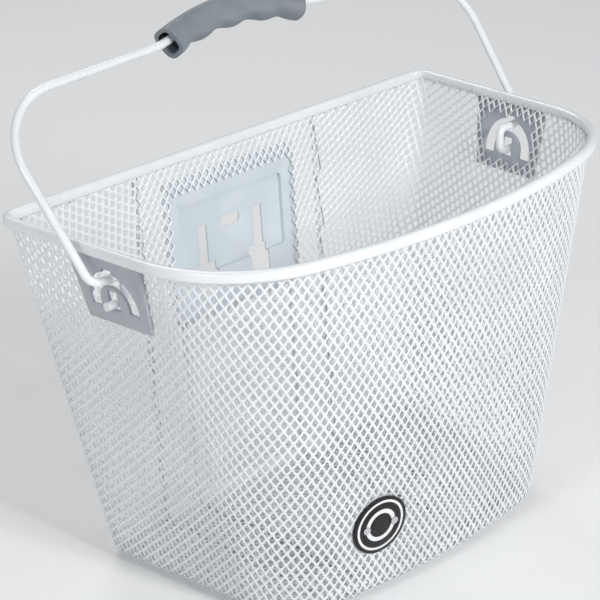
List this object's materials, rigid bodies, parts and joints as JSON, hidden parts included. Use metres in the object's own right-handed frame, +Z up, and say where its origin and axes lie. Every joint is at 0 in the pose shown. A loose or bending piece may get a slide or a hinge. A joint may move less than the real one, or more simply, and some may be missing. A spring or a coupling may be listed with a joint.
{
  "type": "bicycle handlebar basket",
  "caption": "Tapered steel mesh basket with a folded rim, a slotted mounting plate for a handlebar bracket and a swinging carry bail.",
  "frame": {"origin": "middle of the whole object's footprint, on the surface it stands on", "axes": "+Z up, +X to the basket's right, front at -Y, mounting plate on the +Y side"},
  "size_m": [0.3734, 0.218, 0.3355],
  "materials": {
    "white_coat": "glossy white powder coat",
    "mesh_coat": "glossy white powder coat on expanded steel",
    "plate_coat": "smooth pale blue-grey coat",
    "hanger_coat": "satin mid-grey coat",
    "badge_face": "glossy",
    "rivet_metal": "satin",
    "grip_plastic": "soft matte"
  },
  "bodies": {
    "basket": {"top_rim": "white_coat", "wall_mesh": "mesh_coat", "back_mesh": "mesh_coat", "floor_mesh": "mesh_coat", "bottom_ring": "white_coat", "stay_wire_outer_left": "white_coat", "stay_wire_outer_right": "white_coat", "stay_wire_inner_left": "white_coat", "stay_wire_inner_right": "white_coat", "mounting_plate": "plate_coat", "hanger_plate_left": "hanger_coat", "hanger_plate_right": "hanger_coat", "badge": "badge_face", "badge_rivets": "rivet_metal"},
    "bail": {"bail_wire": "white_coat", "bail_grip": "grip_plastic"}
  },
  "joints": [
    {"name": "bail_swing", "type": "hinge", "parent": "basket", "child": "bail", "pos_m": [0, 0.016, 0.206], "axis": [1, 0, 0], "range_deg": [-40, 80]}
  ]
}
